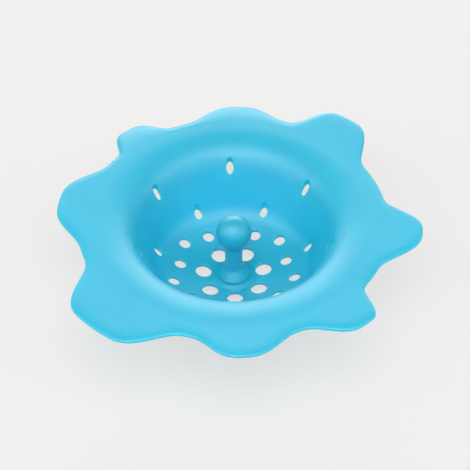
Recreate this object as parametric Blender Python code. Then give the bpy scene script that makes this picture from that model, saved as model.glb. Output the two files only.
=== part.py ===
"""Floor drain hair catcher: a soft strainer bowl with a flower rim, and its push-in pull knob.

The part stands upright. Its origin is the middle of the flat tip of the knob's root, +Z runs up
the bowl's axis, and an azimuth is counted clockwise from +Y towards +X, seen from above.
"""

import math

import bmesh
import bpy

MM = 0.001

# Fit between the two pieces
FIT_GAP = 0.3 * MM

# Strainer bowl, measured on its inner face
WALL = 1.3 * MM
BOWL_DEPTH = 29.4 * MM
FLOOR_CURVE_RADIUS = 60.5 * MM
CORNER_RADIUS = 9.0 * MM
WALL_ANGLE = math.radians(67.0)
ROLL_RADIUS = 9.0 * MM
CROWN_RADIUS = 24.0 * MM
CROWN_ANGLE = math.radians(20.0)

# Hub: a low cone under the knob's foot, and a boss below the floor round the knob's root
HUB_RISE = 1.4 * MM
HUB_INSET = 0.3 * MM
HUB_SPREAD = 2.2 * MM
BOSS_MARGIN = 1.0 * MM
BOSS_DROP = 0.4 * MM

# Flower rim: a flat seat ring, then lobes and notches that slope up and turn down at their lip
SEAT_INNER_RADIUS = 47.3 * MM
SEAT_WIDTH = 2.2 * MM
RIM_SLOPE = math.radians(3.0)
LIP_WIDTH = 4.0 * MM
LIP_DROP = 0.4 * MM

# Each lobe and notch: first azimuth, last azimuth, width beyond the seat ring, extra fall
RIM = (
    (359.0, 365.0, 11.2 * MM, 2.0 * MM),
    (20.0, 22.0, 5.3 * MM, 0.8 * MM),
    (35.0, 43.0, 16.9 * MM, 0.0 * MM),
    (60.0, 80.0, 3.7 * MM, 0.0 * MM),
    (94.0, 98.0, 15.4 * MM, 0.0 * MM),
    (116.0, 127.0, 4.4 * MM, 0.0 * MM),
    (135.0, 141.0, 15.8 * MM, 0.0 * MM),
    (156.0, 158.0, 6.5 * MM, 0.0 * MM),
    (175.0, 180.0, 14.1 * MM, -0.3 * MM),
    (194.0, 197.0, 6.7 * MM, 0.0 * MM),
    (215.0, 229.0, 18.9 * MM, 0.0 * MM),
    (248.0, 255.0, 4.3 * MM, 0.0 * MM),
    (274.0, 282.0, 11.8 * MM, 0.0 * MM),
    (302.0, 308.0, 3.0 * MM, 0.4 * MM),
    (317.0, 324.0, 11.9 * MM, 2.0 * MM),
    (334.0, 341.0, 3.7 * MM, 0.9 * MM),
)

# Drain holes: seven-fold rings of upright holes, from the hub out to the top of the wall
HOLES_PER_RING = 7
PATTERN_TURN = math.radians(-2.4)
HALF_STEP = 0.5
HUB_RING_MARGIN = 0.5 * MM
HUB_RING_HOLE_RADIUS = 2.9 * MM
MIDDLE_RING_SHARE = 0.51
OUTER_RING_SHARE = 0.66
FLOOR_HOLE_RADIUS = 2.05 * MM
CORNER_RING_SLOPE = math.radians(57.6)
CORNER_HOLE_RADIUS = 1.5 * MM
WALL_RING_DROP = 6.3 * MM
WALL_HOLE_RADIUS = 1.45 * MM

# Pull knob
BALL_RADIUS = 6.2 * MM
BALL_LIFT = 20.3 * MM
STEM_RADIUS = 3.05 * MM
SHOULDER_RADIUS = 3.0 * MM
FLARE_RADIUS = 1.6 * MM
FOOT_SLOPE = math.radians(48.0)
FOOT_MARGIN = 1.05 * MM
FOOT_THICKNESS = 0.9 * MM
NECK_RADIUS = 2.35 * MM
BARB_REACH = 1.35 * MM
BARB_RIM = 0.9 * MM
ROOT_HEIGHT = 2.45 * MM
TIP_RADIUS = 2.6 * MM

# Colours (linear red, green, blue) and roughness of the two mouldings
RUBBER_COLOUR = (0.09, 0.55, 0.79)
RUBBER_ROUGHNESS = 0.45
KNOB_COLOUR = (0.07, 0.42, 0.60)
KNOB_ROUGHNESS = 0.4

# Radii that follow from the values above
SEAT_OUTER_RADIUS = SEAT_INNER_RADIUS + SEAT_WIDTH
HUB_HOLE_RADIUS = NECK_RADIUS + FIT_GAP
BARB_RADIUS = HUB_HOLE_RADIUS + BARB_REACH
BOSS_RADIUS = BARB_RADIUS + BOSS_MARGIN
FOOT_RADIUS = STEM_RADIUS + FLARE_RADIUS + FOOT_MARGIN
HUB_TOP_RADIUS = FOOT_RADIUS - HUB_INSET
HUB_BASE_RADIUS = HUB_TOP_RADIUS + HUB_SPREAD

# Heights that follow, from the tip of the root upwards
BOSS_UNDERSIDE = ROOT_HEIGHT + FIT_GAP
FLOOR_Z = BOSS_UNDERSIDE + BOSS_DROP + WALL
HUB_TOP = FLOOR_Z + HUB_RISE
FOOT_UNDERSIDE = HUB_TOP + FIT_GAP
CREST_Z = FLOOR_Z + BOWL_DEPTH

# How finely the round forms are cut
BOWL_STEPS = 98
FLOOR_STEPS = 3
CORNER_STEPS = 3
ROLL_STEPS = 4
CROWN_STEPS = 2
EDGE_STEPS = 3
FLANGE_RINGS = (0.0, 0.45, 0.8)
LARGE_HOLE_SIDES = 14
SMALL_HOLE_SIDES = 10
KNOB_STEPS = 32
BALL_STEPS = 10
SHOULDER_STEPS = 3
FLARE_STEPS = 3
SHARP_ANGLE = math.radians(40.0)
SAME_POINT = 0.001 * MM


def clear_scene():
    """Remove every object of the open scene."""
    for existing in list(bpy.data.objects):
        bpy.data.objects.remove(existing, do_unlink=True)


def moulding(name, colour, roughness):
    """A Principled material for one moulded piece."""
    material = bpy.data.materials.new(name)
    material.use_nodes = True
    shader = material.node_tree.nodes["Principled BSDF"]
    shader.inputs["Base Color"].default_value = (*colour, 1.0)
    shader.inputs["Roughness"].default_value = roughness
    shader.inputs["Metallic"].default_value = 0.0
    material.diffuse_color = (*colour, 1.0)
    return material


def roll_centre():
    """Centre (radius, height) of the arc that rolls the wall over into the crown."""
    reach = CROWN_RADIUS - ROLL_RADIUS
    r = SEAT_INNER_RADIUS - reach * math.sin(CROWN_ANGLE)
    z = CREST_Z - CROWN_RADIUS + reach * math.cos(CROWN_ANGLE)
    return r, z


def wall_top():
    """Point (radius, height) where the straight wall ends and the roll begins."""
    r, z = roll_centre()
    return r - ROLL_RADIUS * math.sin(WALL_ANGLE), z + ROLL_RADIUS * math.cos(WALL_ANGLE)


def corner_centre():
    """Centre (radius, height) of the arc that joins the curved floor to the straight wall.

    It lies on the line that keeps the corner's radius from the wall, at the distance from the
    floor curve's centre at which the two arcs touch.
    """
    cos_wall = math.cos(WALL_ANGLE)
    sin_wall = math.sin(WALL_ANGLE)
    top_r, top_z = wall_top()
    floor_centre_z = FLOOR_Z + FLOOR_CURVE_RADIUS
    start_r = top_r - CORNER_RADIUS * sin_wall
    start_z = top_z + CORNER_RADIUS * cos_wall - floor_centre_z
    reach = FLOOR_CURVE_RADIUS - CORNER_RADIUS
    along = start_r * cos_wall + start_z * sin_wall
    run = -along - math.sqrt(along * along - start_r * start_r - start_z * start_z + reach * reach)
    return start_r + run * cos_wall, start_z + run * sin_wall + floor_centre_z


def arc(centre, radius, first, last, steps, hollow):
    """Points (radius, height, slope) on an arc; a hollow arc has its centre above it."""
    side = 1.0 if hollow else -1.0
    points = []
    for step in range(steps + 1):
        slope = first + (last - first) * step / steps
        r = centre[0] + side * radius * math.sin(slope)
        z = centre[1] - side * radius * math.cos(slope)
        points.append((r, z, slope))
    return points


def inner_face():
    """Points (radius, height, slope) of the bowl's inner face, from the hub out to the crest."""
    floor_centre = (0.0, FLOOR_Z + FLOOR_CURVE_RADIUS)
    corner = corner_centre()
    crown_centre = (SEAT_INNER_RADIUS, CREST_Z - CROWN_RADIUS)
    hub_slope = math.asin(HUB_BASE_RADIUS / FLOOR_CURVE_RADIUS)
    meeting = math.atan2(corner[0], floor_centre[1] - corner[1])
    face = arc(floor_centre, FLOOR_CURVE_RADIUS, hub_slope, meeting, FLOOR_STEPS, hollow=True)
    face += arc(corner, CORNER_RADIUS, meeting, WALL_ANGLE, CORNER_STEPS, hollow=True)[1:]
    face += arc(roll_centre(), ROLL_RADIUS, WALL_ANGLE, CROWN_ANGLE, ROLL_STEPS, hollow=False)
    face += arc(crown_centre, CROWN_RADIUS, CROWN_ANGLE, 0.0, CROWN_STEPS, hollow=False)[1:]
    return face


def layout_width():
    """Width of the flange while it is still a plain ring: that of the widest lobe."""
    return max(width for first, last, width, fall in RIM)


def bowl_outline():
    """The closed outline (radius, height) of the bowl's wall, with the flange laid out flat."""
    face = inner_face()
    width = layout_width()
    half_wall = WALL / 2.0
    flange = [SEAT_OUTER_RADIUS + width * share for share in FLANGE_RINGS]
    edge_r = SEAT_OUTER_RADIUS + width - half_wall
    outline = [(HUB_HOLE_RADIUS, HUB_TOP), (HUB_TOP_RADIUS, HUB_TOP)]
    outline += [(r, z) for r, z, slope in face]
    outline += [(r, CREST_Z) for r in flange]
    for step in range(EDGE_STEPS + 1):
        turn = math.pi * step / EDGE_STEPS
        r = edge_r + half_wall * math.sin(turn)
        outline.append((r, CREST_Z - half_wall * (1.0 - math.cos(turn))))
    outline += [(r, CREST_Z - WALL) for r in reversed(flange)]
    for r, z, slope in reversed(face[1:]):
        outline.append((r + WALL * math.sin(slope), z - WALL * math.cos(slope)))
    underside_radius = FLOOR_CURVE_RADIUS + WALL
    boss_slope = math.asin(BOSS_RADIUS / underside_radius)
    boss_z = FLOOR_Z + FLOOR_CURVE_RADIUS - underside_radius * math.cos(boss_slope)
    outline += [(BOSS_RADIUS, boss_z), (BOSS_RADIUS, BOSS_UNDERSIDE)]
    outline.append((HUB_HOLE_RADIUS, BOSS_UNDERSIDE))
    return outline


def ease(share):
    """Soft step from 0 to 1."""
    return 0.5 - 0.5 * math.cos(math.pi * share)


def rim_at(azimuth):
    """Width of the flange and its extra fall at an azimuth in degrees."""
    for index, (first, last, width, fall) in enumerate(RIM):
        if (azimuth - first) % 360.0 <= last - first:
            return width, fall
        following = RIM[(index + 1) % len(RIM)]
        span = (following[0] - last) % 360.0
        past = (azimuth - last) % 360.0
        if past < span:
            blend = ease(past / span)
            return width + (following[2] - width) * blend, fall + (following[3] - fall) * blend
    raise ValueError(f"the rim has no lobe or notch at {azimuth} degrees")


def flange_top(out, width, fall):
    """Height of the flange's upper face at a distance out from the seat ring."""
    across = out / width
    lip_width = min(LIP_WIDTH, width)
    lip = max(0.0, 1.0 - (width - out) / lip_width)
    return CREST_Z + out * math.tan(RIM_SLOPE) - fall * across * across - LIP_DROP * lip * lip


def shape_rim(mesh):
    """Draw the plain ring out to its lobes and in to its notches, and curve it."""
    half_wall = WALL / 2.0
    laid_out = layout_width()
    for vert in mesh.verts:
        base = math.hypot(vert.co.x, vert.co.y)
        if base <= SEAT_OUTER_RADIUS + SAME_POINT:
            continue
        width, fall = rim_at(math.degrees(math.atan2(vert.co.x, vert.co.y)) % 360.0)
        from_edge = SEAT_OUTER_RADIUS + laid_out - base
        if from_edge > half_wall:
            stretch = (width - half_wall) / (laid_out - half_wall)
            from_edge = half_wall + (from_edge - half_wall) * stretch
        out = width - from_edge
        below = CREST_Z - vert.co.z
        draw = (SEAT_OUTER_RADIUS + out) / base
        vert.co.x *= draw
        vert.co.y *= draw
        vert.co.z = flange_top(min(out, width - half_wall), width, fall) - below


def spun(outline, steps, closed):
    """Turn an outline (radius, height) round the Z axis into a mesh that is still being edited."""
    mesh = bmesh.new()
    verts = [mesh.verts.new((0.0, r, z)) for r, z in outline]
    edges = [mesh.edges.new(pair) for pair in zip(verts, verts[1:])]
    if closed:
        edges.append(mesh.edges.new((verts[-1], verts[0])))
    bmesh.ops.spin(
        mesh,
        geom=verts + edges,
        cent=(0.0, 0.0, 0.0),
        axis=(0.0, 0.0, 1.0),
        angle=2.0 * math.pi,
        steps=steps,
        use_merge=True,
        use_duplicate=False,
    )
    bmesh.ops.remove_doubles(mesh, verts=mesh.verts, dist=SAME_POINT)
    bmesh.ops.recalc_face_normals(mesh, faces=mesh.faces)
    return mesh


def place_in_scene(name, mesh):
    """Make an object from an edited mesh and link it to the scene."""
    data = bpy.data.meshes.new(name)
    mesh.to_mesh(data)
    mesh.free()
    made = bpy.data.objects.new(name, data)
    bpy.context.scene.collection.objects.link(made)
    return made


def finish(piece, material):
    """Shade a round piece smooth, keep its crisp edges and give it its material."""
    piece.data.materials.append(material)
    piece.data.shade_smooth()
    piece.data.set_sharp_from_angle(angle=SHARP_ANGLE)


def hole_rings():
    """Each ring of drain holes: ring radius, hole radius, turn in steps, sides of a hole."""
    hub_ring = HUB_BASE_RADIUS + HUB_RING_MARGIN + HUB_RING_HOLE_RADIUS
    corner_ring = corner_centre()[0] + CORNER_RADIUS * math.sin(CORNER_RING_SLOPE)
    top_r, top_z = wall_top()
    wall_ring = top_r - (top_z - CREST_Z + WALL_RING_DROP) / math.tan(WALL_ANGLE)
    middle_ring = hub_ring + (corner_ring - hub_ring) * MIDDLE_RING_SHARE
    outer_ring = hub_ring + (corner_ring - hub_ring) * OUTER_RING_SHARE
    return (
        (hub_ring, HUB_RING_HOLE_RADIUS, HALF_STEP, LARGE_HOLE_SIDES),
        (middle_ring, FLOOR_HOLE_RADIUS, HALF_STEP, SMALL_HOLE_SIDES),
        (outer_ring, FLOOR_HOLE_RADIUS, 0.0, SMALL_HOLE_SIDES),
        (corner_ring, CORNER_HOLE_RADIUS, HALF_STEP, SMALL_HOLE_SIDES),
        (wall_ring, WALL_HOLE_RADIUS, 0.0, SMALL_HOLE_SIDES),
    )


def hole_pins():
    """The cutter for the drain holes: one upright pin for each of them."""
    mesh = bmesh.new()
    low = BOSS_UNDERSIDE - WALL
    high = CREST_Z + WALL
    for ring_radius, hole_radius, turn, sides in hole_rings():
        for index in range(HOLES_PER_RING):
            azimuth = PATTERN_TURN + 2.0 * math.pi * (index + turn) / HOLES_PER_RING
            pin = bmesh.ops.create_cone(
                mesh,
                cap_ends=True,
                segments=sides,
                radius1=hole_radius,
                radius2=hole_radius,
                depth=high - low,
            )
            place = (ring_radius * math.sin(azimuth), ring_radius * math.cos(azimuth), (low + high) / 2.0)
            bmesh.ops.translate(mesh, verts=pin["verts"], vec=place)
    cutter = place_in_scene("hole_pins", mesh)
    cutter.hide_render = True
    cutter.display_type = "WIRE"
    return cutter


def strainer_bowl():
    """The soft bowl with its flower rim, pierced by the drain holes."""
    mesh = spun(bowl_outline(), BOWL_STEPS, closed=True)
    shape_rim(mesh)
    bowl = place_in_scene("strainer_bowl", mesh)
    finish(bowl, moulding("blue_soft_rubber", RUBBER_COLOUR, RUBBER_ROUGHNESS))
    holes = bowl.modifiers.new("drain_holes", "BOOLEAN")
    holes.operation = "DIFFERENCE"
    holes.solver = "EXACT"
    holes.object = hole_pins()


def knob_outline():
    """The outline (radius, height) of the knob, from the top of its ball down to its root's tip."""
    ball_z = FOOT_UNDERSIDE + BALL_LIFT
    foot_top = FOOT_UNDERSIDE + FOOT_THICKNESS
    touch = math.asin((STEM_RADIUS + SHOULDER_RADIUS) / (BALL_RADIUS + SHOULDER_RADIUS))
    outline = []
    for step in range(BALL_STEPS + 1):
        turn = (math.pi - touch) * step / BALL_STEPS
        outline.append((BALL_RADIUS * math.sin(turn), ball_z + BALL_RADIUS * math.cos(turn)))
    shoulder_r = STEM_RADIUS + SHOULDER_RADIUS
    shoulder_z = ball_z - (BALL_RADIUS + SHOULDER_RADIUS) * math.cos(touch)
    for step in range(1, SHOULDER_STEPS + 1):
        turn = touch + (math.pi / 2.0 - touch) * step / SHOULDER_STEPS
        r = shoulder_r - SHOULDER_RADIUS * math.sin(turn)
        outline.append((r, shoulder_z + SHOULDER_RADIUS * math.cos(turn)))
    flare_r = STEM_RADIUS + FLARE_RADIUS
    cone_start = flare_r - FLARE_RADIUS * math.sin(FOOT_SLOPE)
    cone_top = foot_top + (FOOT_RADIUS - cone_start) * math.tan(FOOT_SLOPE)
    flare_z = cone_top + FLARE_RADIUS * math.cos(FOOT_SLOPE)
    for step in range(FLARE_STEPS + 1):
        turn = (math.pi / 2.0 - FOOT_SLOPE) * step / FLARE_STEPS
        r = flare_r - FLARE_RADIUS * math.cos(turn)
        outline.append((r, flare_z - FLARE_RADIUS * math.sin(turn)))
    outline += [
        (FOOT_RADIUS, foot_top),
        (FOOT_RADIUS, FOOT_UNDERSIDE),
        (NECK_RADIUS, FOOT_UNDERSIDE),
        (NECK_RADIUS, ROOT_HEIGHT),
        (BARB_RADIUS, ROOT_HEIGHT),
        (BARB_RADIUS, ROOT_HEIGHT - BARB_RIM),
        (TIP_RADIUS, 0.0),
        (0.0, 0.0),
    ]
    return outline


def pull_knob():
    """The pull knob: ball, stem and foot above the hub, neck and barbed root through it."""
    knob = place_in_scene("pull_knob", spun(knob_outline(), KNOB_STEPS, closed=False))
    finish(knob, moulding("teal_moulded_plastic", KNOB_COLOUR, KNOB_ROUGHNESS))


def main():
    clear_scene()
    strainer_bowl()
    pull_knob()


main()
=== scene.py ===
"""Looks of the floor drain hair catcher: the fine surface, the finish and the stage."""

import math

import bmesh
import bpy
import numpy as np
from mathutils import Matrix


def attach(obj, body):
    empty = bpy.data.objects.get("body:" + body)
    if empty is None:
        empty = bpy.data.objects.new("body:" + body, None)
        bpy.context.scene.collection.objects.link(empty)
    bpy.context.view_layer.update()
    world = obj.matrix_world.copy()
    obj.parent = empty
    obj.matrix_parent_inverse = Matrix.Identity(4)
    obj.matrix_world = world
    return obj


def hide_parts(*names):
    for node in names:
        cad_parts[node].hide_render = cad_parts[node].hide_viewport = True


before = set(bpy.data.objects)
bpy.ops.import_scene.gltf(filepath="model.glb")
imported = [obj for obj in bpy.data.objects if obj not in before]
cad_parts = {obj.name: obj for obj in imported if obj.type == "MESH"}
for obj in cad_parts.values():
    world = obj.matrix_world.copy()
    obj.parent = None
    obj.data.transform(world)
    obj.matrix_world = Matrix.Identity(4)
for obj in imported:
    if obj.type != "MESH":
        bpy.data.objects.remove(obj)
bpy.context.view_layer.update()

bl_info = {
    "name": "Floor Drain Hair Catcher",
    "version": (1, 0, 0),
    "blender": (4, 5, 0),
    "location": "View3D > Sidebar > Hair Catcher",
    "description": "Models and dresses a soft drain strainer bowl and its pull knob",
    "category": "Object",
}

MM = 0.001

# The flower: first azimuth, last azimuth, width beyond the seat ring, extra fall
RIM = (
    (359.0, 365.0, 11.2 * MM, 2.0 * MM),
    (20.0, 22.0, 5.3 * MM, 0.8 * MM),
    (35.0, 43.0, 16.9 * MM, 0.0 * MM),
    (60.0, 80.0, 3.7 * MM, 0.0 * MM),
    (94.0, 98.0, 15.4 * MM, 0.0 * MM),
    (116.0, 127.0, 4.4 * MM, 0.0 * MM),
    (135.0, 141.0, 15.8 * MM, 0.0 * MM),
    (156.0, 158.0, 6.5 * MM, 0.0 * MM),
    (175.0, 180.0, 14.1 * MM, -0.3 * MM),
    (194.0, 197.0, 6.7 * MM, 0.0 * MM),
    (215.0, 229.0, 18.9 * MM, 0.0 * MM),
    (248.0, 255.0, 4.3 * MM, 0.0 * MM),
    (274.0, 282.0, 11.8 * MM, 0.0 * MM),
    (302.0, 308.0, 3.0 * MM, 0.4 * MM),
    (317.0, 324.0, 11.9 * MM, 2.0 * MM),
    (334.0, 341.0, 3.7 * MM, 0.9 * MM),
)

# How finely the bowl is laid out round its axis, and the sectors where its two wedges start
HOLES_PER_RING = 7
SECTORS_PER_HOLE = 24
SECTORS = HOLES_PER_RING * SECTORS_PER_HOLE
HUB_WEDGE_START = 0
OUTER_WEDGE_START = -SECTORS_PER_HOLE // 4

# The radii where its layout changes: past the large holes, between the wedges, and round the rings
# of middling holes
HUB_RING_END = 14.4 * MM
WEDGE_MEETING = 15.2 * MM
FLOOR_HOLES_START = 16.8 * MM
FLOOR_HOLES_END = 25.2 * MM
FLANGE_CELLS = 9

# The clear strip kept round a hole, points that count as one, and the points of each arc
HOLE_MARGIN = 0.35 * MM
SAME_POINT = 0.002 * MM
ARC_POINTS = 24

# Half the width over which a sharp step in the section is laid out, and how much the normal of a
# side face may rise
STEP_HALF = 0.1 * MM
SIDE_NORMAL = 0.05

# How finely the knob is laid out, and the rounding and taper of its hidden edges
BALL_SEGMENTS = 64
BALL_RINGS = 40
SHOULDER_POINTS = 7
FLARE_POINTS = 6
FOOT_POINTS = 5
SMALL_POINTS = 3
SMALL_ROUND = 0.15 * MM
TIP_TAPER = 0.12

# The room: the height, as a sine, where its pale walls start to dim and where the ceiling begins
CEILING_START = math.sin(math.radians(12.0))
CEILING_END = math.sin(math.radians(45.0))
CEILING_SHADE = 0.05

# The finish of a moulded face: how far apart pigment and gloss drift, how much the roughness
# drifts, and how far red, green and blue light go in, as shares of the material's depth
PIGMENT_DRIFT = 24.0 * MM
GLOSS_DRIFT = 9.0 * MM
GLOSS_SPREAD = 0.04
LIGHT_REACH = (0.35, 0.8, 1.0)

# The mould's grain, drawn coarser than the real 0.05 mm so that it shows
MOULD_GRAIN = 0.35 * MM
GRAIN_DEPTH = 0.03 * MM
GRAIN_STRENGTH = 0.12

# The floor: its side in metres, its roughness, and how far its seen colour is plain and not lit
FLOOR_SIZE = 6.0
FLOOR_ROUGHNESS = 0.6
FLOOR_PLAIN_SHARE = 0.65

# The soft boxes: name, azimuth and elevation in degrees, distance, width and height in metres
SOFT_BOXES = (
    ("front", 192.0, 43.0, 1.2, 0.9, 0.9),
    ("high", 180.0, 66.0, 1.2, 0.9, 0.9),
    ("left", 248.0, 36.0, 1.2, 0.9, 0.9),
    ("right", 112.0, 36.0, 1.2, 0.9, 0.9),
    ("back", 0.0, 15.0, 1.0, 0.9, 0.3),
    ("back_high", 0.0, 30.0, 1.0, 0.9, 0.3),
)

# Where a colour Mix node keeps its two colours and its result
MIX_FIRST = 6
MIX_SECOND = 7
MIX_RESULT = 2


def length(name, description, default):
    """A length property in metres."""
    return bpy.props.FloatProperty(
        name=name, description=description, default=default, min=0.0, unit="LENGTH", precision=5
    )


def angle(name, description, degrees):
    """An angle property."""
    return bpy.props.FloatProperty(
        name=name, description=description, default=math.radians(degrees), unit="ROTATION"
    )


def hex_colour(text):
    """The linear colour of an sRGB hex value."""
    channels = [int(text[start:start + 2], 16) / 255.0 for start in (1, 3, 5)]
    return [c / 12.92 if c <= 0.04045 else ((c + 0.055) / 1.055) ** 2.4 for c in channels]


def colour(name, description, text):
    """A colour property whose default is an sRGB hex value."""
    return bpy.props.FloatVectorProperty(
        name=name,
        description=description,
        default=hex_colour(text),
        subtype="COLOR",
        min=0.0,
        max=1.0,
    )


def power(name, place, watts):
    """The power of a soft box in watts."""
    return bpy.props.FloatProperty(
        name=name, description=f"Watts of the soft box {place}", default=watts
    )


class BowlSettings(bpy.types.PropertyGroup):
    """Sizes of the strainer bowl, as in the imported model."""

    wall: length("Wall", "Thickness of the rubber", 1.3 * MM)
    floor_z: length("Floor height", "Height of the middle of the bowl's floor", 4.45 * MM)
    depth: length("Depth", "From the middle of the floor up to the rim's crest", 29.4 * MM)
    floor_curve: length("Floor curve", "Radius of the curved floor", 60.5 * MM)
    corner: length("Corner", "Radius between floor and wall", 9.0 * MM)
    wall_angle: angle("Wall angle", "Slope of the wall", 67.0)
    roll: length("Roll", "Radius that rolls the wall over into the rim", 9.0 * MM)
    crown: length("Crown", "Radius of the rim's crown", 24.0 * MM)
    crown_angle: angle("Crown angle", "Slope where the roll meets the crown", 20.0)
    hub_hole: length("Hub hole", "Radius of the hole for the knob's neck", 2.65 * MM)
    hub_top: length("Hub top", "Radius of the hub's flat top", 5.4 * MM)
    hub_base: length("Hub base", "Radius of the hub's foot on the floor", 7.6 * MM)
    hub_rise: length("Hub rise", "Height of the hub over the floor", 1.4 * MM)
    boss: length("Boss", "Radius of the boss under the floor", 5.0 * MM)
    boss_drop: length("Boss drop", "Height of the boss under the floor", 0.4 * MM)
    seat_inner: length("Seat start", "Radius where the flat seat ring starts", 47.3 * MM)
    seat_width: length("Seat width", "Width of the flat seat ring", 2.2 * MM)
    rim_slope: angle("Rim slope", "How steeply the flange rises outwards", 3.0)
    lip_width: length("Lip width", "Width of the stretch that turns down at the edge", 4.0 * MM)
    lip_drop: length("Lip drop", "How far the edge turns down", 0.4 * MM)
    edge_round: length("Edge rounding", "Radius of the rim's moulded edge", 0.55 * MM)
    hole_round: length("Hole rounding", "Radius of the edges of the drain holes", 0.16 * MM)


class HoleSettings(bpy.types.PropertyGroup):
    """Sizes and places of the drain holes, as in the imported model."""

    turn: angle("Pattern turn", "Turn of the whole hole pattern", -2.4)
    hub_ring: length("Hub ring", "Radius of the ring of large holes", 11.0 * MM)
    hub_hole: length("Hub ring hole", "Radius of a large hole", 2.9 * MM)
    middle_ring: length("Middle ring", "Radius of the second ring", 19.389 * MM)
    outer_ring: length("Outer ring", "Radius of the third ring", 21.856 * MM)
    floor_hole: length("Floor hole", "Radius of a hole of the second and third ring", 2.05 * MM)
    corner_ring: length("Corner ring", "Radius of the ring in the corner", 27.449 * MM)
    corner_hole: length("Corner hole", "Radius of a hole in the corner", 1.5 * MM)
    wall_ring: length("Wall ring", "Radius of the ring in the wall", 33.922 * MM)
    wall_hole: length("Wall hole", "Radius of a hole in the wall", 1.45 * MM)


class KnobSettings(bpy.types.PropertyGroup):
    """Sizes of the pull knob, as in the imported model."""

    ball: length("Ball", "Radius of the ball", 6.2 * MM)
    ball_z: length("Ball height", "Height of the ball's centre", 26.45 * MM)
    stem: length("Stem", "Radius of the stem", 3.05 * MM)
    shoulder: length("Shoulder", "Radius of the hollow under the ball", 3.0 * MM)
    flare: length("Flare", "Radius of the hollow between stem and foot", 1.6 * MM)
    foot: length("Foot", "Radius of the foot", 5.7 * MM)
    foot_slope: angle("Foot slope", "Slope of the foot's cone", 48.0)
    foot_z: length("Foot height", "Height of the foot's underside", 6.15 * MM)
    foot_thickness: length("Foot thickness", "Thickness of the foot at its edge", 0.9 * MM)
    foot_round: length("Foot rounding", "Radius of the foot's edge", 0.5 * MM)
    neck: length("Neck", "Radius of the neck in the hub", 2.35 * MM)
    barb: length("Barb", "Radius of the root's barb", 4.0 * MM)
    barb_rim: length("Barb rim", "Height of the barb's edge", 0.9 * MM)
    root_z: length("Root height", "Height of the barb's upper face", 2.45 * MM)
    tip: length("Tip", "Radius of the root's flat tip", 2.6 * MM)


class FinishSettings(bpy.types.PropertyGroup):
    """Colours of the two mouldings."""

    rubber: colour("Rubber", "Colour of the bowl's rubber", "#10BDD9")
    rubber_deep: colour("Rubber, dense", "The rubber's colour where pigment lies denser", "#0CB4D2")
    knob: colour("Knob", "Colour of the knob's plastic", "#22B9D4")
    knob_deep: colour("Knob, dense", "The knob's colour where pigment lies denser", "#1CB1CD")


class StageSettings(bpy.types.PropertyGroup):
    """Camera, soft boxes, floor and room."""

    elevation: angle("Elevation", "Height of the camera over the rim's plane", 46.3)
    look_down: angle("Look down", "How far the camera looks below the horizon", 44.94)
    distance: length("Distance", "From the camera to the point that it goes round", 0.5892)
    pivot_z: length("Pivot height", "Height of the point that the camera goes round", 5.55 * MM)
    side_step: length("Side step", "How far the camera stands to the right", 0.427 * MM)
    lens: bpy.props.FloatProperty(name="Lens", description="Focal length in mm", default=126.77)
    floor: colour("Floor", "Colour in which the floor and the room are seen", "#F8F6F5")
    board: colour("Board", "Colour of the floor under the lamps", "#DBDAD8")
    front_power: power("Front light", "by the camera", 3.4)
    high_power: power("High light", "high over the camera", 8.2)
    left_power: power("Left light", "on the left", 4.9)
    right_power: power("Right light", "on the right", 4.4)
    back_power: power("Back light", "low behind the object", 3.7)
    back_high_power: power("High back light", "a little higher behind the object", 2.0)
    sky_strength: bpy.props.FloatProperty(
        name="Sky", description="Strength of the pale room's light", default=0.02
    )


# Outlines of the bowl


def arc(centre, radius, first, last, hollow):
    """Points (radius, height, slope) on an arc; a hollow arc has its centre above it."""
    side = 1.0 if hollow else -1.0
    return [
        (centre[0] + side * radius * math.sin(s), centre[1] - side * radius * math.cos(s), s)
        for s in np.linspace(first, last, ARC_POINTS)
    ]


def roll_centre(bowl):
    """Centre (radius, height) of the arc that rolls the wall over into the crown."""
    reach = bowl.crown - bowl.roll
    crest_z = bowl.floor_z + bowl.depth
    r = bowl.seat_inner - reach * math.sin(bowl.crown_angle)
    return r, crest_z - bowl.crown + reach * math.cos(bowl.crown_angle)


def corner_centre(bowl):
    """Centre (radius, height) of the arc that joins the curved floor to the straight wall."""
    cos_wall = math.cos(bowl.wall_angle)
    sin_wall = math.sin(bowl.wall_angle)
    roll_r, roll_z = roll_centre(bowl)
    floor_centre_z = bowl.floor_z + bowl.floor_curve
    start_r = roll_r - (bowl.roll + bowl.corner) * sin_wall
    start_z = roll_z + (bowl.roll + bowl.corner) * cos_wall - floor_centre_z
    reach = bowl.floor_curve - bowl.corner
    along = start_r * cos_wall + start_z * sin_wall
    run = -along - math.sqrt(along * along - start_r * start_r - start_z * start_z + reach * reach)
    return start_r + run * cos_wall, start_z + run * sin_wall + floor_centre_z


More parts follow.
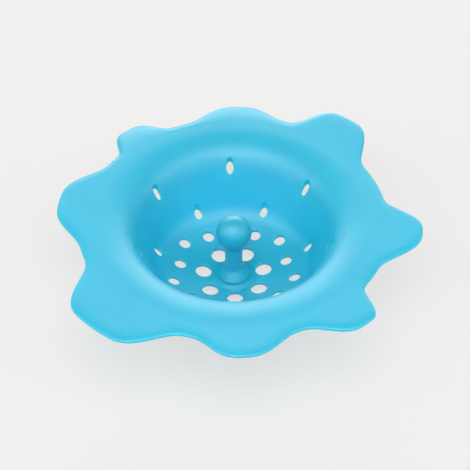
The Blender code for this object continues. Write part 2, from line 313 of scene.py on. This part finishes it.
def bowl_faces(bowl):
    """The upper and the lower face of the bowl, each as heights over radii out to the seat ring."""
    crest_z = bowl.floor_z + bowl.depth
    floor_centre = (0.0, bowl.floor_z + bowl.floor_curve)
    corner = corner_centre(bowl)
    hub_slope = math.asin(bowl.hub_base / bowl.floor_curve)
    meeting = math.atan2(corner[0], floor_centre[1] - corner[1])
    face = arc(floor_centre, bowl.floor_curve, hub_slope, meeting, hollow=True)
    face += arc(corner, bowl.corner, meeting, bowl.wall_angle, hollow=True)
    face += arc(roll_centre(bowl), bowl.roll, bowl.wall_angle, bowl.crown_angle, hollow=False)
    crown_centre = (bowl.seat_inner, crest_z - bowl.crown)
    face += arc(crown_centre, bowl.crown, bowl.crown_angle, 0.0, hollow=False)
    hub_z = bowl.floor_z + bowl.hub_rise
    upper = [(bowl.hub_hole, hub_z), (bowl.hub_top, hub_z)] + [(r, z) for r, z, s in face]
    boss_z = bowl.floor_z - bowl.wall - bowl.boss_drop
    under_curve = bowl.floor_curve + bowl.wall
    lower = [(bowl.hub_hole, boss_z), (bowl.boss - STEP_HALF, boss_z)]
    for r in np.linspace(bowl.boss + STEP_HALF, bowl.hub_base, ARC_POINTS):
        lower.append((r, floor_centre[1] - math.sqrt(under_curve * under_curve - r * r)))
    for r, z, s in face[1:]:
        lower.append((r + bowl.wall * math.sin(s), z - bowl.wall * math.cos(s)))
    return np.array(upper), np.array(lower)


def ease(share):
    """Soft step from 0 to 1."""
    return 0.5 - 0.5 * math.cos(math.pi * share)


def rim_at(azimuth):
    """Width of the flange and its extra fall at an azimuth in degrees."""
    for index, (first, last, width, fall) in enumerate(RIM):
        if (azimuth - first) % 360.0 <= last - first:
            return width, fall
        following = RIM[(index + 1) % len(RIM)]
        span = (following[0] - last) % 360.0
        past = (azimuth - last) % 360.0
        if past < span:
            blend = ease(past / span)
            return width + (following[2] - width) * blend, fall + (following[3] - fall) * blend
    raise ValueError(f"the rim has no lobe or notch at {azimuth} degrees")


def flange_top(bowl, out, width, fall):
    """Height of the flange's upper face at a distance out from the seat ring."""
    across = out / width
    lip = max(0.0, 1.0 - (width - out) / min(bowl.lip_width, width))
    level = bowl.floor_z + bowl.depth + out * math.tan(bowl.rim_slope)
    return level - fall * across * across - bowl.lip_drop * lip * lip


def ring_radii(bowl):
    """Radii of the rings that lay out the bowl, from the hub's hole out over the seat ring."""
    wall_top = roll_centre(bowl)[0] - bowl.roll * math.sin(bowl.wall_angle)
    corner = corner_centre(bowl)[0] + bowl.corner * math.sin(bowl.wall_angle)
    runs = (
        (bowl.hub_hole, bowl.boss - STEP_HALF, 3),
        (bowl.boss - STEP_HALF, bowl.boss + STEP_HALF, 1),
        (bowl.boss + STEP_HALF, bowl.hub_top + STEP_HALF, 1),
        (bowl.hub_top + STEP_HALF, bowl.hub_base, 3),
        (bowl.hub_base, HUB_RING_END, 8),
        (HUB_RING_END, WEDGE_MEETING, 1),
        (WEDGE_MEETING, FLOOR_HOLES_START, 2),
        (FLOOR_HOLES_START, FLOOR_HOLES_END, 12),
        (FLOOR_HOLES_END, corner, 3),
        (corner, wall_top, 5),
        (wall_top, bowl.seat_inner, 7),
        (bowl.seat_inner, bowl.seat_inner + bowl.seat_width, 1),
    )
    radii = [bowl.hub_hole]
    for start, end, cells in runs:
        radii += list(np.linspace(start, end, cells + 1))[1:]
    return radii


# Steps by which the pieces are modelled


def begin():
    """Leave edit mode, and leave nothing selected."""
    if bpy.context.object is not None and bpy.context.object.mode != "OBJECT":
        bpy.ops.object.mode_set(mode="OBJECT")
    bpy.ops.object.select_all(action="DESELECT")


def edit(piece):
    """Enter edit mode on one piece alone, with nothing selected."""
    begin()
    piece.select_set(True)
    bpy.context.view_layer.objects.active = piece
    bpy.ops.object.mode_set(mode="EDIT")
    bpy.ops.mesh.select_all(action="DESELECT")


def pick(piece, kind, wanted):
    """Select just the faces or edges that a test wants, and insist that there are some."""
    bpy.ops.mesh.select_mode(type=kind)
    bpy.ops.mesh.select_all(action="DESELECT")
    mesh = bmesh.from_edit_mesh(piece.data)
    found = [part for part in (mesh.faces if kind == "FACE" else mesh.edges) if wanted(part)]
    if not found:
        raise RuntimeError(f"nothing to select on {piece.name}")
    for part in found:
        part.select_set(True)
    bmesh.update_edit_mesh(piece.data)


def apply_modifier(piece, kind, **values):
    """Add a modifier with its settings, and apply it."""
    begin()
    piece.select_set(True)
    bpy.context.view_layer.objects.active = piece
    modifier = piece.modifiers.new(kind.lower(), kind)
    for name, value in values.items():
        setattr(modifier, name, value)
    bpy.ops.object.modifier_apply(modifier=modifier.name)


def settle(piece, name, body, node, material):
    """Name a finished piece, give it its material and tie it to the frame."""
    begin()
    piece.name = name
    piece.data.name = name
    piece.data.materials.clear()
    piece.data.materials.append(material)
    piece.data.shade_smooth()
    check = bmesh.new()
    check.from_mesh(piece.data)
    open_edges = sum(not edge.is_manifold for edge in check.edges)
    inside_out = check.calc_volume(signed=True) <= 0.0
    check.free()
    if open_edges or inside_out:
        raise RuntimeError(f"{name}: {open_edges} open edges, inside out {inside_out}")
    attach(piece, body)
    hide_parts(node)


# The strainer bowl


def add_wedge(rings, start, turn):
    """A flat wedge of the bowl's plan, one seventh of the round, from a grid drawn into a fan."""
    begin()
    cells = len(rings) - 1
    bpy.ops.mesh.primitive_grid_add(x_subdivisions=SECTORS_PER_HOLE, y_subdivisions=cells, size=1.0)
    piece = bpy.context.object
    for vert in piece.data.vertices:
        sector = start + round((vert.co.x + 0.5) * SECTORS_PER_HOLE)
        radius = rings[round((vert.co.y + 0.5) * cells)]
        azimuth = turn + 2.0 * math.pi * sector / SECTORS
        vert.co = (radius * math.sin(azimuth), radius * math.cos(azimuth), 0.0)
    return piece


def add_plan(rings, turn):
    """One seventh of the bowl's plan: two wedges that meet on a ring, their holes well inside."""
    meeting = min(range(len(rings)), key=lambda index: abs(rings[index] - WEDGE_MEETING))
    hub_part = add_wedge(rings[:meeting + 1], HUB_WEDGE_START, turn)
    piece = add_wedge(rings[meeting:], OUTER_WEDGE_START, turn)
    begin()
    hub_part.select_set(True)
    piece.select_set(True)
    bpy.context.view_layer.objects.active = piece
    bpy.ops.object.join()
    return piece


def punch_hole(piece, rings, turn, ring_radius, hole_radius, half_step):
    """Cut a block of faces out of the wedge and draw the block's edge in to a round hole."""
    centre_azimuth = turn + (math.pi / HOLES_PER_RING if half_step else 0.0)
    sector_angle = 2.0 * math.pi / SECTORS
    reach = hole_radius + HOLE_MARGIN
    inner = max(r for r in rings if r <= ring_radius - reach)
    outer = min(r for r in rings if r >= ring_radius + reach)
    reach_angle = math.asin(reach / (ring_radius - 0.5 * hole_radius))
    half_angle = math.ceil(reach_angle / sector_angle) * sector_angle

    def off_centre(point):
        """Angle from the hole's own azimuth."""
        away = math.atan2(point.x, point.y) - centre_azimuth
        return abs((away + math.pi) % (2.0 * math.pi) - math.pi)

    def in_block(face):
        middle = face.calc_center_median()
        return inner < middle.xy.length < outer and off_centre(middle) < half_angle

    def on_edge(edge):
        if not edge.is_boundary:
            return False
        return all(
            inner - SAME_POINT <= v.co.xy.length <= outer + SAME_POINT
            and off_centre(v.co) <= half_angle + 0.1 * sector_angle
            for v in edge.verts
        )

    pick(piece, "FACE", in_block)
    bpy.ops.mesh.delete(type="FACE")
    pick(piece, "EDGE", on_edge)
    bpy.ops.mesh.extrude_edges_move()
    centre = (ring_radius * math.sin(centre_azimuth), ring_radius * math.cos(centre_azimuth), 0.0)
    bpy.ops.transform.tosphere(value=1.0, center_override=centre)
    mesh = bmesh.from_edit_mesh(piece.data)
    drawn = [v for v in mesh.verts if v.select]
    made = sum(math.dist(v.co.xy, centre[:2]) for v in drawn) / len(drawn)
    scale = hole_radius / made
    bpy.ops.transform.resize(value=(scale, scale, 1.0), center_override=centre)


def punch_holes(piece, rings, holes):
    """The five holes of one wedge."""
    for ring_radius, hole_radius, half_step in (
        (holes.hub_ring, holes.hub_hole, True),
        (holes.middle_ring, holes.floor_hole, True),
        (holes.outer_ring, holes.floor_hole, False),
        (holes.corner_ring, holes.corner_hole, True),
        (holes.wall_ring, holes.wall_hole, False),
    ):
        punch_hole(piece, rings, holes.turn, ring_radius, hole_radius, half_step)


def copy_round():
    """Copy the wedge round to seven, and join the seams."""
    bpy.ops.mesh.select_all(action="SELECT")
    copies = HOLES_PER_RING - 1
    bpy.ops.mesh.spin(
        steps=copies,
        dupli=True,
        angle=2.0 * math.pi * copies / HOLES_PER_RING,
        center=(0.0, 0.0, 0.0),
        axis=(0.0, 0.0, 1.0),
    )
    bpy.ops.mesh.select_all(action="SELECT")
    bpy.ops.mesh.remove_doubles(threshold=SAME_POINT)


def thicken_and_raise(piece, bowl, flange_start, flange_end):
    """Give the flat plan a second face, and raise both to the bowl's section and its flower rim."""
    bpy.ops.mesh.select_all(action="SELECT")
    bpy.ops.mesh.extrude_region_move()
    upper, lower = bowl_faces(bowl)
    mesh = bmesh.from_edit_mesh(piece.data)
    for vert in mesh.verts:
        under = vert.select
        radius = vert.co.xy.length
        if radius <= flange_start + SAME_POINT:
            face = lower if under else upper
            vert.co.z = np.interp(radius, face[:, 0], face[:, 1])
            continue
        width, fall = rim_at(math.degrees(math.atan2(vert.co.x, vert.co.y)) % 360.0)
        out = width * (radius - flange_start) / (flange_end - flange_start)
        vert.co.x *= (flange_start + out) / radius
        vert.co.y *= (flange_start + out) / radius
        vert.co.z = flange_top(bowl, out, width, fall) - (bowl.wall if under else 0.0)
    bmesh.update_edit_mesh(piece.data)
    bpy.ops.mesh.select_all(action="SELECT")
    bpy.ops.mesh.normals_make_consistent(inside=False)


def round_edges(piece, bowl, flange_start):
    """Round the rim's edge and the edges of all the holes, as a mould leaves them."""

    def is_corner(edge):
        if len(edge.link_faces) != 2:
            return False
        sides = [abs(face.normal.z) < SIDE_NORMAL for face in edge.link_faces]
        return sides[0] != sides[1]

    def in_rim(edge):
        return min(v.co.xy.length for v in edge.verts) > flange_start

    pick(piece, "EDGE", lambda edge: is_corner(edge) and in_rim(edge))
    bpy.ops.mesh.bevel(offset=bowl.edge_round, segments=2, profile=0.5, affect="EDGES")
    pick(piece, "EDGE", lambda edge: is_corner(edge) and not in_rim(edge))
    bpy.ops.mesh.bevel(offset=bowl.hole_round, segments=2, profile=0.5, affect="EDGES")


class HAIRCATCHER_OT_strainer_bowl(bpy.types.Operator):
    """Model the soft strainer bowl with its flower rim and drain holes"""

    bl_idname = "hair_catcher.strainer_bowl"
    bl_label = "Strainer Bowl"
    bl_options = {"REGISTER", "UNDO"}

    def execute(self, context):
        bowl = context.scene.hair_catcher_bowl
        holes = context.scene.hair_catcher_holes
        rings = ring_radii(bowl)
        flange_start = rings[-1]
        flange_end = flange_start + max(width for first, last, width, fall in RIM)
        rings += list(np.linspace(flange_start, flange_end, FLANGE_CELLS + 1))[1:]
        piece = add_plan(rings, holes.turn)
        edit(piece)
        punch_holes(piece, rings, holes)
        copy_round()
        thicken_and_raise(piece, bowl, flange_start, flange_end)
        round_edges(piece, bowl, flange_start)
        apply_modifier(piece, "SUBSURF", levels=1, render_levels=1)
        rubber = soft_rubber(context.scene)
        settle(piece, "soft_strainer_bowl", "bowl", "strainer_bowl", rubber)
        return {"FINISHED"}


# The pull knob


def next_ring(radius, height, last_radius, last_height):
    """Extrude the selected edge loop to a new radius and height round the knob's axis."""
    bpy.ops.mesh.extrude_edges_move()
    scale = radius / last_radius
    bpy.ops.transform.resize(value=(scale, scale, 1.0), center_override=(0.0, 0.0, last_height))
    bpy.ops.transform.translate(value=(0.0, 0.0, height - last_height))


def bend(centre_r, centre_z, radius, first, last, points):
    """Points (radius, height) on an arc between two angles, counted from +r towards +z."""
    return [
        (centre_r + radius * math.cos(a), centre_z + radius * math.sin(a))
        for a in np.linspace(first, last, points)
    ]


def knob_rings(knob, touch):
    """Rings (radius, height) of the knob below its ball, down to the edge of the root's tip."""
    half = math.pi / 2.0
    small = SMALL_ROUND

    # Hollow under the ball
    hollow_z = knob.ball_z - (knob.ball + knob.shoulder) * math.cos(touch)
    rings = bend(
        knob.stem + knob.shoulder, hollow_z, knob.shoulder, half + touch, math.pi, SHOULDER_POINTS
    )[1:]

    # Hollow between stem and foot, which ends where it meets the foot's cone
    slope = knob.foot_slope
    foot_top = knob.foot_z + knob.foot_thickness
    cone_start = knob.stem + knob.flare * (1.0 - math.sin(slope))
    cone_top = foot_top + (knob.foot - cone_start) * math.tan(slope)
    flare_z = cone_top + knob.flare * math.cos(slope)
    rings += bend(
        knob.stem + knob.flare, flare_z, knob.flare, math.pi, math.pi + half - slope, FLARE_POINTS
    )

    # Edge of the foot, which touches the cone and the foot's side
    r = knob.foot_round
    edge_z = foot_top + r * math.tan(slope) - r / math.cos(slope)
    rings += bend(knob.foot - r, edge_z, r, half - slope, 0.0, FOOT_POINTS)
    rings += bend(knob.foot - small, knob.foot_z + small, small, 0.0, -half, SMALL_POINTS)

    # Neck, barb and tip
    rings += [(knob.neck + small, knob.foot_z), (knob.neck, knob.foot_z - small)]
    rings += [(knob.neck, knob.root_z + small), (knob.neck + small, knob.root_z)]
    rings += bend(knob.barb - small, knob.root_z - small, small, half, 0.0, SMALL_POINTS)
    rings += [(knob.barb, knob.root_z - knob.barb_rim + small)]
    under = knob.root_z - knob.barb_rim
    run = TIP_TAPER * (knob.barb - knob.tip)
    rings += [(knob.barb - run, under * (1.0 - TIP_TAPER))]
    rings += [(knob.tip + run, under * TIP_TAPER), (knob.tip - small, 0.0)]
    return rings


class HAIRCATCHER_OT_pull_knob(bpy.types.Operator):
    """Model the pull knob: ball, stem, bell-shaped foot, neck and barbed root"""

    bl_idname = "hair_catcher.pull_knob"
    bl_label = "Pull Knob"
    bl_options = {"REGISTER", "UNDO"}

    def execute(self, context):
        knob = context.scene.hair_catcher_knob
        touch = math.asin((knob.stem + knob.shoulder) / (knob.ball + knob.shoulder))
        begin()
        bpy.ops.mesh.primitive_uv_sphere_add(
            segments=BALL_SEGMENTS,
            ring_count=BALL_RINGS,
            radius=knob.ball,
            location=(0.0, 0.0, knob.ball_z),
        )
        bpy.ops.object.transform_apply(location=True, rotation=True, scale=True)
        piece = context.object
        contact_z = knob.ball_z - knob.ball * math.cos(touch)
        edit(piece)
        pick(piece, "FACE", lambda face: face.calc_center_median().z < contact_z)
        bpy.ops.mesh.delete(type="FACE")
        pick(piece, "EDGE", lambda edge: edge.is_boundary)
        mesh = bmesh.from_edit_mesh(piece.data)
        first = next(v for v in mesh.verts if v.select)
        last_radius, last_height = first.co.xy.length, first.co.z
        for radius, height in knob_rings(knob, touch):
            next_ring(radius, height, last_radius, last_height)
            last_radius, last_height = radius, height
        bpy.ops.mesh.fill_grid(span=BALL_SEGMENTS // 4)
        bpy.ops.mesh.select_all(action="SELECT")
        bpy.ops.mesh.remove_doubles(threshold=SAME_POINT)
        bpy.ops.mesh.normals_make_consistent(inside=False)
        apply_modifier(piece, "SUBSURF", levels=1, render_levels=1)
        plastic = moulded_knob(context.scene)
        settle(piece, "moulded_pull_knob", "knob", "pull_knob", plastic)
        return {"FINISHED"}


# Materials


def add_node(tree, kind, settings=None, links=None):
    """Add a node, set its values and inputs, and link its inputs to other nodes' outputs."""
    node = tree.nodes.new(kind)
    for name, value in (settings or {}).items():
        if isinstance(name, int) or name in node.inputs:
            node.inputs[name].default_value = value
        else:
            setattr(node, name, value)
    for name, output in (links or {}).items():
        tree.links.new(output, node.inputs[name])
    return node


def moulded_surface(name, plain, dense, roughness, gloss_level, depth):
    """A moulded plastic: slow drifts of pigment and gloss, and the fine grain of the mould."""
    material = bpy.data.materials.new(name)
    material.use_nodes = True
    tree = material.node_tree
    shader = tree.nodes["Principled BSDF"]
    place = add_node(tree, "ShaderNodeTexCoord").outputs["Object"]
    drift = add_node(
        tree, "ShaderNodeTexNoise", {"Scale": 1.0 / PIGMENT_DRIFT, "Detail": 2.0}, {"Vector": place}
    )
    pigment = add_node(
        tree,
        "ShaderNodeMix",
        {"data_type": "RGBA", MIX_FIRST: (*plain, 1.0), MIX_SECOND: (*dense, 1.0)},
        {"Factor": drift.outputs["Fac"]},
    )
    tree.links.new(pigment.outputs[MIX_RESULT], shader.inputs["Base Color"])
    gloss = add_node(
        tree, "ShaderNodeTexNoise", {"Scale": 1.0 / GLOSS_DRIFT, "Detail": 3.0}, {"Vector": place}
    )
    gloss_range = add_node(
        tree,
        "ShaderNodeMapRange",
        {"To Min": roughness - GLOSS_SPREAD, "To Max": roughness + GLOSS_SPREAD},
        {"Value": gloss.outputs["Fac"]},
    )
    tree.links.new(gloss_range.outputs["Result"], shader.inputs["Roughness"])
    grain = add_node(
        tree, "ShaderNodeTexNoise", {"Scale": 1.0 / MOULD_GRAIN, "Detail": 2.0}, {"Vector": place}
    )
    bump = add_node(
        tree,
        "ShaderNodeBump",
        {"Strength": GRAIN_STRENGTH, "Distance": GRAIN_DEPTH},
        {"Height": grain.outputs["Fac"]},
    )
    tree.links.new(bump.outputs["Normal"], shader.inputs["Normal"])
    shader.inputs["Metallic"].default_value = 0.0
    shader.inputs["IOR"].default_value = 1.5
    shader.inputs["Specular IOR Level"].default_value = gloss_level
    shader.inputs["Subsurface Weight"].default_value = 1.0
    shader.inputs["Subsurface Radius"].default_value = LIGHT_REACH
    shader.inputs["Subsurface Scale"].default_value = depth
    return material


def soft_rubber(scene):
    """Thermoplastic rubber, injection moulded in a fine-blasted mould.

    It gives the eye a satin face with broad pale highlights, and light goes a little way into the
    thin wall, so that shaded stretches stay saturated. The mould's grain is too fine to show at its
    real size, so MOULD_GRAIN is coarser.
    """
    finish = scene.hair_catcher_finish
    return moulded_surface(
        "thermoplastic_rubber_moulded",
        finish.rubber,
        finish.rubber_deep,
        roughness=0.5,
        gloss_level=1.0,
        depth=4.0 * MM,
    )


def moulded_knob(scene):
    """Polypropylene, injection moulded: stiffer, denser and a little greener than the bowl.

    It gives the eye a tighter highlight on the ball, and a duller face than the rubber's, because
    light goes less far in. The grain is the bowl's.
    """
    finish = scene.hair_catcher_finish
    return moulded_surface(
        "polypropylene_moulded",
        finish.knob,
        finish.knob_deep,
        roughness=0.42,
        gloss_level=0.75,
        depth=3.0 * MM,
    )


def seen_share(tree, share):
    """A share for camera, glossy and transmission rays, so that reflections show the backdrop."""
    path = add_node(tree, "ShaderNodeLightPath").outputs
    seen = add_node(
        tree,
        "ShaderNodeMath",
        {"operation": "MAXIMUM"},
        {0: path["Is Camera Ray"], 1: path["Is Glossy Ray"]},
    )
    seen = add_node(
        tree,
        "ShaderNodeMath",
        {"operation": "MAXIMUM"},
        {0: seen.outputs["Value"], 1: path["Is Transmission Ray"]},
    )
    factor = add_node(
        tree, "ShaderNodeMath", {"operation": "MULTIPLY", 1: share}, {0: seen.outputs["Value"]}
    )
    return factor.outputs["Value"]


def pale_floor(scene):
    """Matt white board: its own pale colour where it is seen, with a faint shadow of the object."""
    material = bpy.data.materials.new("matt_white_board")
    material.use_nodes = True
    tree = material.node_tree
    shader = tree.nodes["Principled BSDF"]
    tint = (*scene.hair_catcher_stage.floor, 1.0)
    shader.inputs["Base Color"].default_value = (*scene.hair_catcher_stage.board, 1.0)
    shader.inputs["Roughness"].default_value = FLOOR_ROUGHNESS
    glow = add_node(tree, "ShaderNodeEmission", {"Color": tint, "Strength": 1.0})
    mix = add_node(
        tree,
        "ShaderNodeMixShader",
        links={
            0: seen_share(tree, FLOOR_PLAIN_SHARE),
            1: shader.outputs["BSDF"],
            2: glow.outputs["Emission"],
        },
    )
    tree.links.new(mix.outputs["Shader"], tree.nodes["Material Output"].inputs["Surface"])
    return material


# The stage


def add_soft_box(name, azimuth, elevation, distance, width, height, watts):
    """A lamp of a width and a height that looks at the object from an azimuth and an elevation."""
    data = bpy.data.lights.new(name, "AREA")
    data.shape = "RECTANGLE"
    data.size = width
    data.size_y = height
    data.energy = watts
    lamp = bpy.data.objects.new(name, data)
    bpy.context.scene.collection.objects.link(lamp)
    level = distance * math.cos(elevation)
    height_z = distance * math.sin(elevation)
    lamp.location = (level * math.sin(azimuth), level * math.cos(azimuth), height_z)
    lamp.rotation_euler = lamp.location.to_track_quat("Z", "Y").to_euler()


def add_camera(stage):
    """The camera at the photograph's viewing angle."""
    data = bpy.data.cameras.new("camera")
    data.lens = stage.lens
    camera = bpy.data.objects.new("camera", data)
    bpy.context.scene.collection.objects.link(camera)
    camera.location = (
        stage.side_step,
        -stage.distance * math.cos(stage.elevation),
        stage.pivot_z + stage.distance * math.sin(stage.elevation),
    )
    camera.rotation_euler = (math.pi / 2.0 - stage.look_down, 0.0, 0.0)
    bpy.context.scene.camera = camera


def add_sky(strength, tint):
    """A pale room: a little plain light, and the floor's colour where the room is seen.

    Its ceiling is dimmer. It shows only in reflections, and dims them on faces that look up.
    """
    world = bpy.data.worlds.new("pale_room")
    bpy.context.scene.world = world
    world.use_nodes = True
    tree = world.node_tree
    tree.nodes["Background"].inputs["Color"].default_value = (1.0, 1.0, 1.0, 1.0)
    tree.nodes["Background"].inputs["Strength"].default_value = strength
    way = add_node(tree, "ShaderNodeTexCoord").outputs["Generated"]
    rise = add_node(tree, "ShaderNodeSeparateXYZ", links={"Vector": way}).outputs["Z"]
    walls = add_node(
        tree,
        "ShaderNodeMapRange",
        {
            "From Min": CEILING_START,
            "From Max": CEILING_END,
            "To Min": 1.0,
            "To Max": CEILING_SHADE,
        },
        {"Value": rise},
    )
    backdrop = add_node(
        tree, "ShaderNodeBackground", {"Color": (*tint, 1.0)}, {"Strength": walls.outputs["Result"]}
    )
    light = tree.nodes["Background"].outputs["Background"]
    mix = add_node(
        tree,
        "ShaderNodeMixShader",
        links={0: seen_share(tree, 1.0), 1: light, 2: backdrop.outputs["Background"]},
    )
    tree.links.new(mix.outputs["Shader"], tree.nodes["World Output"].inputs["Surface"])


class HAIRCATCHER_OT_stage(bpy.types.Operator):
    """Set up the pale floor, the soft studio light and the camera"""

    bl_idname = "hair_catcher.stage"
    bl_label = "Stage"
    bl_options = {"REGISTER", "UNDO"}

    def execute(self, context):
        stage = context.scene.hair_catcher_stage
        begin()
        bpy.ops.mesh.primitive_plane_add(size=FLOOR_SIZE)
        floor = context.object
        floor.name = "floor"
        floor.data.materials.append(pale_floor(context.scene))
        for name, azimuth, elevation, distance, width, height in SOFT_BOXES:
            add_soft_box(
                f"{name}_light",
                math.radians(azimuth),
                math.radians(elevation),
                distance,
                width,
                height,
                getattr(stage, f"{name}_power"),
            )
        add_sky(stage.sky_strength, stage.floor)
        add_camera(stage)
        context.scene.view_settings.view_transform = "Standard"
        return {"FINISHED"}


class HAIRCATCHER_PT_panel(bpy.types.Panel):
    """Steps, sizes, colours and stage of the hair catcher"""

    bl_idname = "HAIRCATCHER_PT_panel"
    bl_label = "Hair Catcher"
    bl_space_type = "VIEW_3D"
    bl_region_type = "UI"
    bl_category = "Hair Catcher"

    def draw(self, context):
        for operator in (
            HAIRCATCHER_OT_strainer_bowl,
            HAIRCATCHER_OT_pull_knob,
            HAIRCATCHER_OT_stage,
        ):
            self.layout.operator(operator.bl_idname)
        for name in SETTINGS:
            group = getattr(context.scene, name)
            box = self.layout.box()
            for prop in group.bl_rna.properties:
                if prop.identifier not in ("rna_type", "name"):
                    box.prop(group, prop.identifier)


SETTINGS = {
    "hair_catcher_bowl": BowlSettings,
    "hair_catcher_holes": HoleSettings,
    "hair_catcher_knob": KnobSettings,
    "hair_catcher_finish": FinishSettings,
    "hair_catcher_stage": StageSettings,
}
CLASSES = (
    *SETTINGS.values(),
    HAIRCATCHER_OT_strainer_bowl,
    HAIRCATCHER_OT_pull_knob,
    HAIRCATCHER_OT_stage,
    HAIRCATCHER_PT_panel,
)


def register():
    for cls in CLASSES:
        bpy.utils.register_class(cls)
    for name, group in SETTINGS.items():
        setattr(bpy.types.Scene, name, bpy.props.PointerProperty(type=group))


def unregister():
    for name in SETTINGS:
        delattr(bpy.types.Scene, name)
    for cls in reversed(CLASSES):
        bpy.utils.unregister_class(cls)


def main():
    register()
    bpy.ops.hair_catcher.strainer_bowl()
    bpy.ops.hair_catcher.pull_knob()
    bpy.ops.hair_catcher.stage()


if __name__ == "__main__":
    main()
